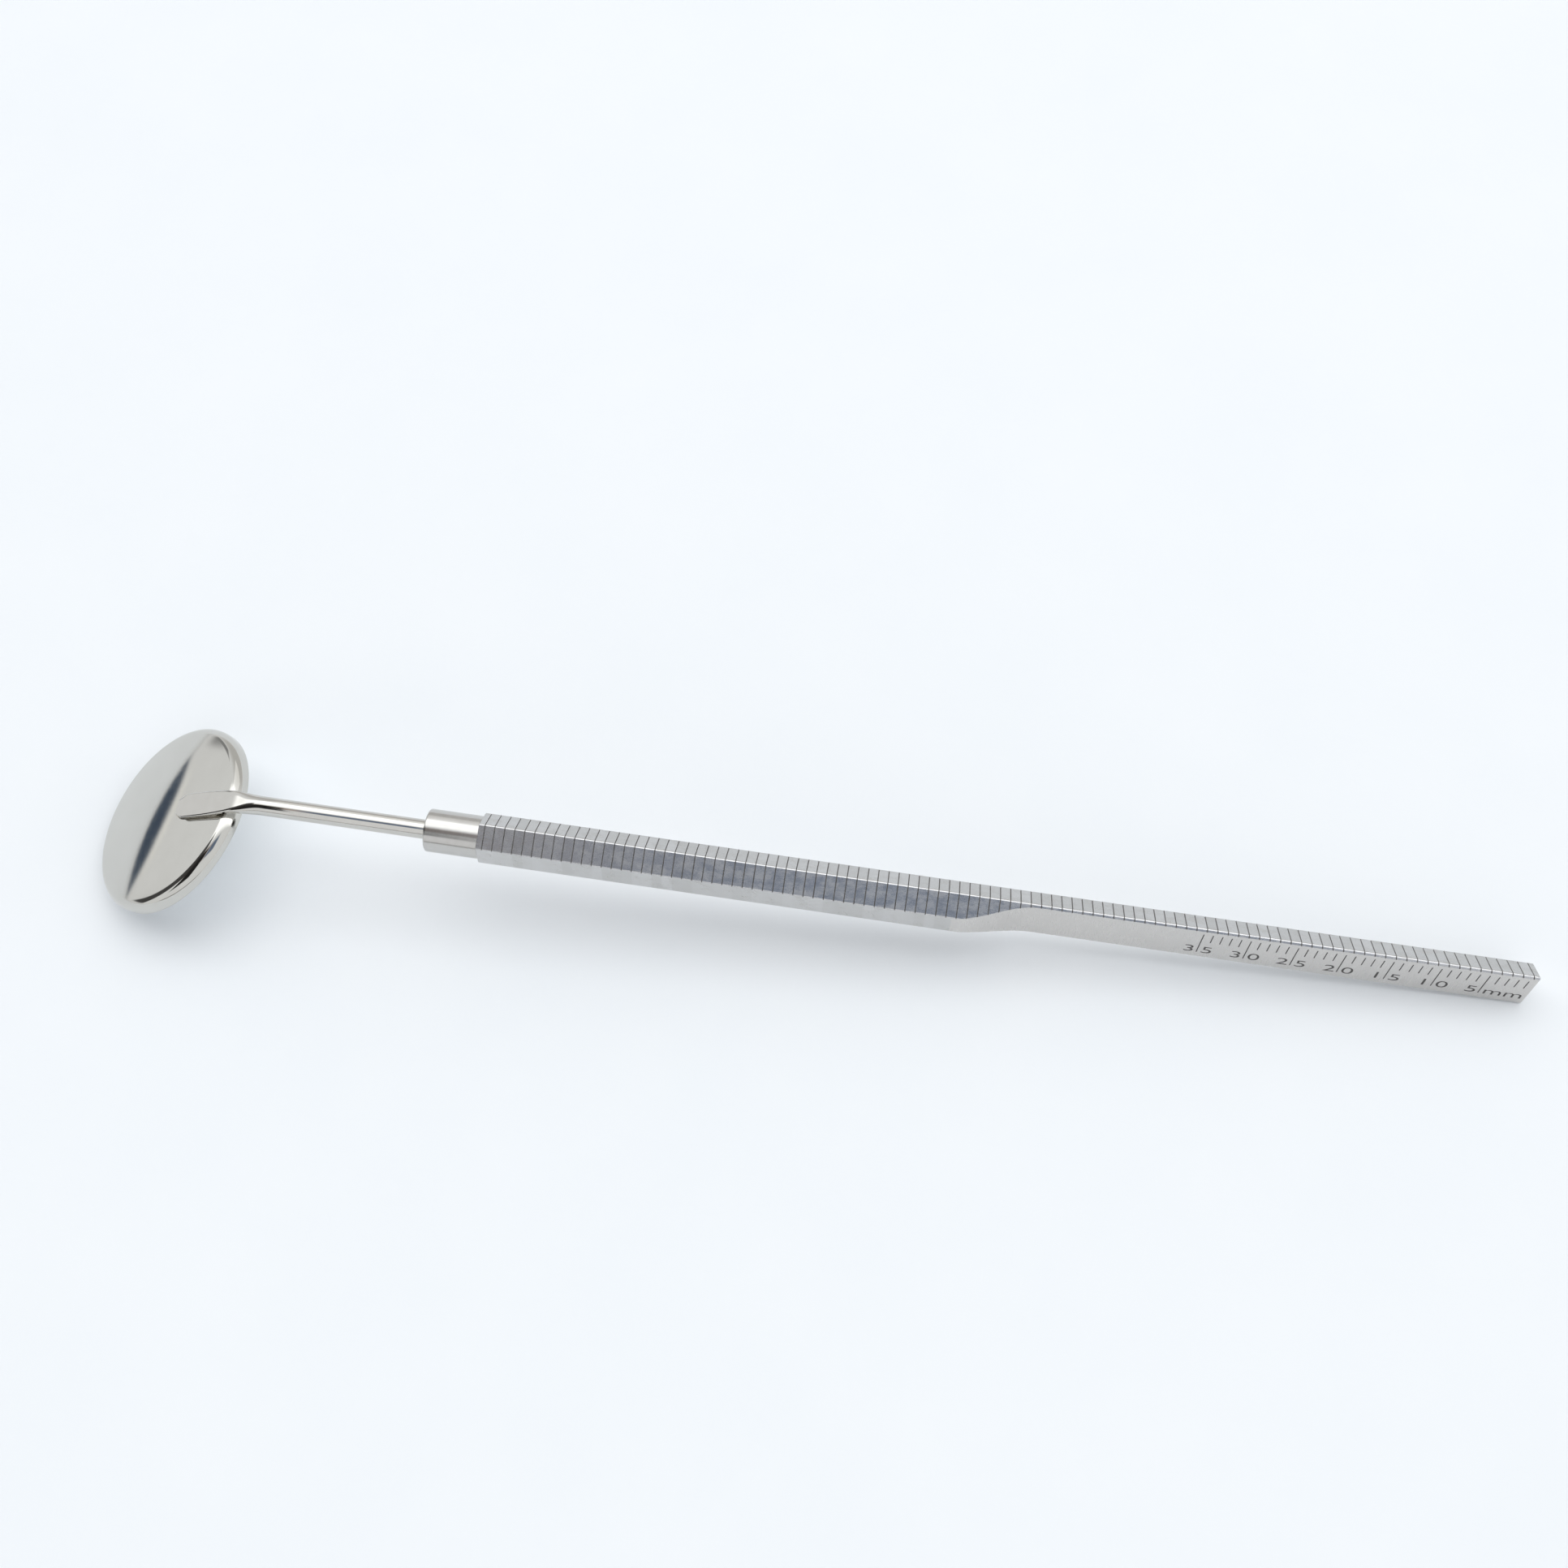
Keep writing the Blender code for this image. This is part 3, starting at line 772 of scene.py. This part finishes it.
def stem():
    """The rod, its bend and its foot, with the thread on its tail."""
    back = THREAD_START + THREAD_TURNS * THREAD_PITCH
    rings = [circle(back + 0.35 * MM, THREAD_ROOT_R - 0.3 * MM),
             circle(back + 0.05 * MM, THREAD_ROOT_R), circle(THREAD_START, THREAD_ROOT_R),
             circle(THREAD_START - 0.1 * MM, ROD_R)]
    foot_start = BEND_R * FOOT_ANGLE
    foot = FOOT_LEN - BEND_R * math.tan(FOOT_ANGLE / 2)
    rod = 2 * ROD_R
    rings.append(stem_section(-FLATTEN_LEAD, rod, rod))
    flatten = FLATTEN_LEAD + foot_start
    for k in range(1, 31):
        t = k / 30
        height = rod + (FOOT_T - rod) * smooth_step(t)
        width = rod + (FOOT_W - rod) * FOOT_SPREAD * t
        square = 2 + 3 * smooth_step(t) ** 2
        rings.append(stem_section(t * flatten - FLATTEN_LEAD, width, height, 0.0, square))
    for k in range(1, 25):
        t = k / 24
        height = FOOT_T + (FOOT_TIP_T - FOOT_T) * t
        width = FOOT_W - (1 - FOOT_SPREAD) * (FOOT_W - rod) * max(0.0, 1 - 2 * t) ** 2
        width -= FOOT_CUT * max(0.0, t - 0.86) / 0.14
        distance = foot_start + t * foot
        rings.append(stem_section(distance, width, height, (height - FOOT_T) / 2, 5.0))
    rod_piece = shape("stem_rod", loft(rings), POLISHED, sharp_angle=60.0)
    thread = plain(stem_thread())
    bm = bmesh.new()
    bm.from_mesh(rod_piece.data)
    first = len(bm.faces)
    bm.from_mesh(thread.data)
    for number, face in enumerate(bm.faces):
        face.material_index = 1 if number >= first else 0
    for old in (rod_piece, thread):
        bpy.data.objects.remove(old)
    piece = shape("bent_stem", bm, POLISHED, HANDLE, 60.0)
    piece.data.materials.append(THREAD)
    return piece


# ---- head -------------------------------------------------------------------------------------
def dome_height(radius):
    """Height of the cup's outer back above the rim plane."""
    return CUP_DEPTH + CUP_DOME * (1 - (radius / (CUP_R - CUP_ROUND)) ** 2)


def dome_profile(drop, outer, steps=26):
    """(radius, height) points down the dome from its edge to the centre."""
    return [(outer * (1 - i / steps), dome_height(outer * (1 - i / steps)) - drop)
            for i in range(steps + 1)]


def cup():
    """The pressed shell: a rolled rim, a wall, a soft shoulder and the dome, all one sheet thick."""
    inner = CUP_R - SHEET
    lip = SHEET / 2
    profile = arc((CUP_R - lip, lip), lip, 180, 360, 12)
    sweep = math.radians(SHOULDER_SWEEP)
    meet = CUP_R - SHOULDER_R * (1 - math.cos(sweep))
    rise = dome_height(meet) - SHOULDER_R * math.sin(sweep)
    profile += arc((CUP_R - SHOULDER_R, rise), SHOULDER_R, 0, SHOULDER_SWEEP, 14)
    profile += dome_profile(0.0, meet - 0.1 * MM)
    profile += list(reversed(dome_profile(SHEET, inner - 0.35 * MM)))
    profile += [(inner, CUP_DEPTH - CUP_ROUND)]
    return shape("back_cup_shell", lathe(profile), CUP_STEEL, RIM)


def glass():
    c = 0.12 * MM                       # the ground edges' chamfer
    front, back = GLASS_RECESS, GLASS_RECESS + GLASS_T
    profile = [(0, front), (GLASS_R * 0.5, front), (GLASS_R - c, front), (GLASS_R, front + c),
               (GLASS_R, back - c), (GLASS_R - c, back), (0, back)]
    return shape("mirror_disc", lathe(profile), SILVER, RIM)


def seal():
    """The bead of sealant, its face hollowed where it was wiped."""
    low, high = GLASS_RECESS - GAP - SEAL_T, GLASS_RECESS - GAP
    outer = CUP_R - SHEET - GAP
    profile = [(outer, high), (SEAL_R, high)]
    for k in range(9):
        t = k / 8
        profile.append((SEAL_R + (outer - SEAL_R) * t,
                        high - 0.05 * MM + (low - high + 0.05 * MM) * t ** 1.6))
    return shape("seal_bead", lathe(profile), SEALANT, RIM)


def braze():
    """The filler's pool between the foot and the dome, with a rounded edge."""
    rows, cols = 40, 24
    near, far = CUP_R - CUP_ROUND - 0.35 * MM, CUP_R - FOOT_LEN + 0.15 * MM
    bm = bmesh.new()
    layers = []
    for level in (0, 1):
        grid = []
        for i in range(rows + 1):
            t = i / rows
            half = (FOOT_W / 2 - 0.05 * MM) * math.sqrt(1 - 0.9 * abs(2 * t - 1) ** 6)
            u = near + (far - near) * t
            line = []
            for j in range(cols + 1):
                s = 2 * j / cols - 1
                edge = max(abs(s) ** 10, abs(2 * t - 1) ** 16)
                lift = GAP + BRAZE_T * level * (1 - 0.55 * edge)
                v = half * s
                line.append(bm.verts.new((u, v, dome_height(math.hypot(u, v)) + lift)))
            grid.append(line)
        layers.append(grid)
    low, high = layers
    for i in range(rows):
        for j in range(cols):
            bm.faces.new((low[i][j], low[i][j + 1], low[i + 1][j + 1], low[i + 1][j]))
            bm.faces.new((high[i][j], high[i + 1][j], high[i + 1][j + 1], high[i][j + 1]))
    for i in range(rows):
        for j in (0, cols):
            bm.faces.new((low[i][j], low[i + 1][j], high[i + 1][j], high[i][j]))
    for j in range(cols):
        for i in (0, rows):
            bm.faces.new((low[i][j], low[i][j + 1], high[i][j + 1], high[i][j]))
    return shape("braze_pool", bm, FILLER, RIM)


# ---- the object -------------------------------------------------------------------------------
def fit(piece, body, slot, *nodes):
    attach(piece, body)
    if nodes:
        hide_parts(*nodes)


fit(handle(), "handle", "handle_steel", "handle")
fit(ruler_ticks(), "handle", "handle_steel")
fit(ruler_numbers(), "handle", "handle_steel")
fit(stem(), "head", "stem_steel", "stem")
fit(cup(), "head", "cup_steel", "back_cup")
fit(glass(), "head", "mirror_face", "mirror_glass")
fit(seal(), "head", "sealant", "edge_seal")
fit(braze(), "head", "braze_filler", "braze")

pad = frame["nodes"]["backing_pad"]
pad_finish = pad_fibre()
for slot in pad.material_slots:
    slot.material = pad_finish


# ---- floor, light and camera ------------------------------------------------------------------
def table():
    """A sheet of white paper far wider than the view."""
    size = 3.0
    mesh = bpy.data.meshes.new("table")
    mesh.from_pydata([(-size, -size, 0), (size, -size, 0), (size, size, 0), (-size, size, 0)], [],
                     [(0, 1, 2, 3)])
    f = Finish("table_paper", Matrix.Identity(4), Specular_IOR_Level=0.2)
    grain = f.noise(0.9, detail=5.0)
    fleck = f.noise(0.05, detail=4.0)
    mesh.materials.append(f.paint(
        Base_Color=f.mix(fleck, grey(0.86, 0.89, 0.92), grey(0.90, 0.92, 0.94)),
        Roughness=0.7, Normal=f.bump(grain, 30.0, 0.5)))
    floor = new_object("table", mesh)


def room(g, x, y, z):
    """White walls, greyer at the back, and a long lamp overhead."""
    glow = g.mix(z.rise(-0.1, 0.5), grey(0.84, 0.85, 0.86), grey(0.88, 0.895, 0.91))
    back_wall = y.rise(0.55, 0.85) * z.rise(0.0, 0.1)
    glow = g.mix(back_wall, glow, grey(0.62, 0.62, 0.61))
    slope = y / z.most(0.05)
    lamp = slope.band(-0.05, 0.72, 0.10) * z.rise(0.1, 0.3) * x.rise(-0.8, -0.6)
    return g.mix(lamp, glow, grey(1.75, 1.78, 1.80))


def stand(g, glow, x, y, z):
    """The dark stand overhead, brown to blue along the handle and black over the stem."""
    across = 0.941 * y + 0.338 * z
    high = z.rise(0.2, 0.5)
    arm = across.band(-0.17, 0.15, 0.05) * high
    glow = g.mix(arm * x.band(-0.75, -0.10, 0.08) * 0.85, glow, grey(0.52, 0.42, 0.36))
    glow = g.mix(arm * x.band(-0.12, 0.38, 0.06), glow, grey(0.17, 0.215, 0.30))
    hood = across.band(-0.50, 0.12, 0.03) * high * x.band(-0.62, -0.187, 0.004)
    glow = g.mix(hood, glow, grey(0.02, 0.02, 0.02))
    skirting = (-y).rise(0.78, 0.92) * z.band(-0.01, 0.07, 0.015)
    return g.mix(skirting * 0.85, glow, grey(0.10, 0.09, 0.075))


def left_wall(g, glow, x, y, z):
    """What the cup's back shows: a blue door with a lit frame, a dark edge and a dark corner."""
    door = (-x * 0.956 + y * 0.292).rise(0.978, 0.998)
    above = z - 0.012 - 0.10 * door
    frame_light = above.band(0.02, 0.06, 0.02) * door
    glow = g.mix(frame_light * 0.6, glow, grey(1.25, 1.22, 1.12))
    opening = z.rise(0.006, 0.012) * (1 - above.rise(-0.02, 0.015)) * (-x).rise(0.75, 0.85)
    glow = g.mix(opening, glow, grey(0.05, 0.075, 0.12))
    edge = y.band(-0.40, 0.07, 0.02) * z.rise(0.05, 0.09) * (-x).rise(0.42, 0.50)
    glow = g.mix(edge * 0.95, glow, grey(0.03, 0.028, 0.028))
    corner = y.band(0.505, 0.66, 0.015) * z.band(0.06, 0.30, 0.03) * (-x).rise(0.60, 0.68)
    return g.mix(corner * 0.75, glow, grey(0.10, 0.10, 0.10))


def studio():
    """The room that the steel shows.  The camera itself sees a plain wall."""
    world = bpy.data.worlds.new("studio")
    scene.world = world
    world.use_nodes = True
    g = Graph(world.node_tree)
    x, y, z = g.parts(g.add("ShaderNodeTexCoord", out="Generated"))
    glow = room(g, x, y, z)
    glow = stand(g, glow, x, y, z)
    glow = left_wall(g, glow, x, y, z)
    seen = g.add("ShaderNodeLightPath", out="Is Camera Ray")
    glow = g.mix(seen, glow, grey(0.87, 0.885, 0.90))
    background = world.node_tree.nodes["Background"]
    world.node_tree.links.new(glow.socket, background.inputs["Color"])
    background.inputs["Strength"].default_value = 1.05


def softbox(name, where, aim, size, watts):
    """A square-edged lamp at `where`, turned to face `aim`."""
    light = bpy.data.lights.new(name, "AREA")
    light.shape = "RECTANGLE"
    light.size, light.size_y = size
    light.energy = watts
    obj = bpy.data.objects.new(name, light)
    way = Vector(aim) - Vector(where)
    obj.matrix_world = Matrix.Translation(where) @ way.to_track_quat("-Z", "Y").to_matrix().to_4x4()
    scene.collection.objects.link(obj)


def camera():
    right = Vector(CAMERA_RIGHT)
    ahead = Vector(CAMERA_AHEAD)
    view = bpy.data.cameras.new("camera")
    view.sensor_width = 36.0
    view.lens = LENS
    view.clip_start = 0.005
    obj = bpy.data.objects.new("camera", view)
    stance = Matrix((right, right.cross(ahead), -ahead)).transposed().to_4x4()
    stance.translation = CAMERA_AT
    obj.matrix_world = stance
    scene.collection.objects.link(obj)
    scene.camera = obj


table()
studio()
softbox("key", (0.05, 0.42, 0.50), (0, 0, 0), (0.60, 0.50), 0.34)
camera()
scene.view_settings.view_transform = "Standard"
